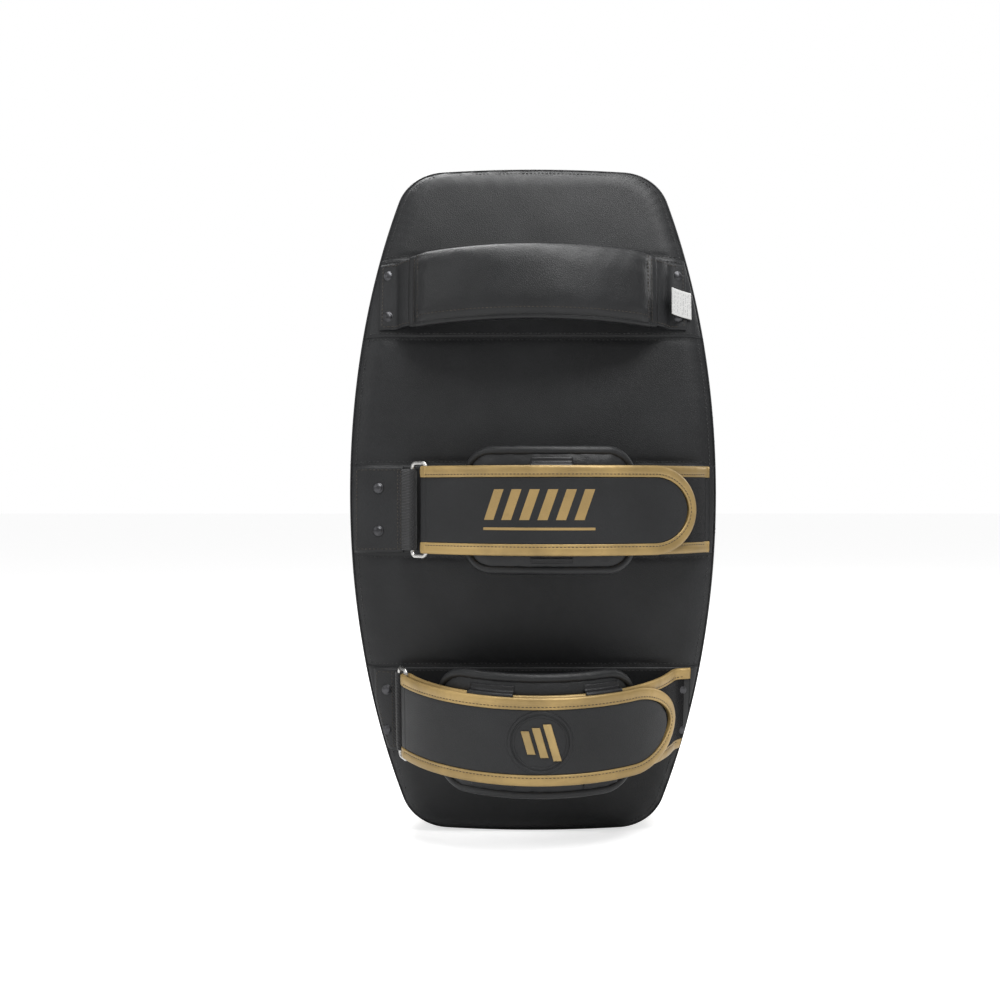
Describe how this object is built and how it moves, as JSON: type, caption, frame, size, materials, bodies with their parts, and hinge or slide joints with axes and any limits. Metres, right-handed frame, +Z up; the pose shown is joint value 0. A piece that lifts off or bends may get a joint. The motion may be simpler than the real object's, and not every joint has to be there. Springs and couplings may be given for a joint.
{
  "type": "kick shield",
  "caption": "Curved foam strike pad in a leather cover with a hand grip, two padded arm loops with ring and hook closures, and a laced side band.",
  "frame": {"origin": "bottom centre of the whole shield as it stands upright", "axes": "+Z up the shield, -Y out of the strike face, +Y out of the back with the straps, +X towards the ring side"},
  "size_m": [0.3294, 0.235, 0.6116],
  "materials": {
    "cover_leather": "satin",
    "piping_leather": "satin",
    "foam": "matte",
    "band_leather": "satin",
    "gold_tape": "satin",
    "strap_leather": "satin",
    "webbing": "matte",
    "ring_steel": "gloss",
    "rivet_metal": "satin",
    "loop_fabric": "matte",
    "hook_tape": "matte",
    "cuff_leather": "satin",
    "badge_rubber": "satin",
    "label_cloth": "matte",
    "lace_cord": "matte"
  },
  "bodies": {
    "pad": {"strike_panel": "cover_leather", "strike_piping": "piping_leather", "back_panel": "cover_leather", "back_welt": "piping_leather", "upper_side_band": "cover_leather", "lower_side_band": "cover_leather", "closure_facing": "cover_leather", "closure_tapes": "gold_tape", "closure_lace": "lace_cord", "impact_foam": "foam", "core_foam": "foam", "support_foam": "foam", "handle_back_band": "band_leather", "upper_back_band": "band_leather", "lower_back_band": "band_leather", "handle_strap": "band_leather", "handle_grip_cover": "cover_leather", "handle_grip_foam": "foam", "rivets": "rivet_metal", "rivet_washers": "rivet_metal", "upper_anchor_patch": "band_leather", "upper_ring_webbing": "webbing", "upper_base_strap": "strap_leather", "upper_base_binding": "gold_tape", "upper_loop_tape": "loop_fabric", "upper_fold": "strap_leather", "lower_anchor_patch": "band_leather", "lower_ring_webbing": "webbing", "lower_base_strap": "strap_leather", "lower_base_binding": "gold_tape", "lower_loop_tape": "loop_fabric", "lower_fold": "strap_leather"},
    "label": {"care_label": "label_cloth"},
    "upper_flap": {"upper_flap": "strap_leather", "upper_flap_binding": "gold_tape", "upper_hook_tape": "hook_tape"},
    "upper_ring": {"upper_ring": "ring_steel"},
    "upper_cuff": {"upper_cuff_cover": "cuff_leather", "upper_cuff_foam": "foam", "upper_cuff_binding": "cuff_leather", "upper_cuff_keepers": "webbing"},
    "lower_flap": {"lower_flap": "strap_leather", "lower_flap_binding": "gold_tape", "lower_hook_tape": "hook_tape", "lower_badge": "badge_rubber"},
    "lower_ring": {"lower_ring": "ring_steel"},
    "lower_cuff": {"lower_cuff_cover": "cuff_leather", "lower_cuff_foam": "foam", "lower_cuff_binding": "cuff_leather", "lower_cuff_keepers": "webbing"}
  },
  "joints": [
    {"name": "upper_flap_open", "type": "hinge", "parent": "pad", "child": "upper_flap", "pos_m": [0.094, 0.05216, 0.29695], "axis": [0, -0.007, -1], "range_deg": [0, 110], "deforming": ["upper_fold"]},
    {"name": "upper_ring_rock", "type": "hinge", "parent": "pad", "child": "upper_ring", "pos_m": [0.10654, 0.04305, 0.29701], "axis": [0, 0.007, 1], "range_deg": [-5, 5], "deforming": ["upper_fold"]},
    {"name": "upper_cuff_slide", "type": "hinge", "parent": "pad", "child": "upper_cuff", "pos_m": [-0.0235, -0.06679, 0.29778], "axis": [0, 0.007, 1], "range_deg": [-4, 4]},
    {"name": "lower_flap_open", "type": "hinge", "parent": "pad", "child": "lower_flap", "pos_m": [0.112, 0.0383, 0.11376], "axis": [0, -0.1513, -0.9885], "range_deg": [0, 110], "deforming": ["lower_fold"]},
    {"name": "lower_ring_rock", "type": "hinge", "parent": "pad", "child": "lower_ring", "pos_m": [0.11928, 0.02477, 0.11583], "axis": [0, 0.1513, 0.9885], "range_deg": [-5, 5], "deforming": ["lower_fold"]},
    {"name": "lower_cuff_slide", "type": "hinge", "parent": "pad", "child": "lower_cuff", "pos_m": [-0.005, -0.02464, 0.12339], "axis": [0, 0.1513, 0.9885], "range_deg": [-3.5, 3.5]},
    {"name": "label_swing", "type": "hinge", "parent": "pad", "child": "label", "pos_m": [-0.1425, 0.02028, 0.47967], "axis": [0, -0.1392, 0.9903], "range_deg": [0, 90]}
  ]
}
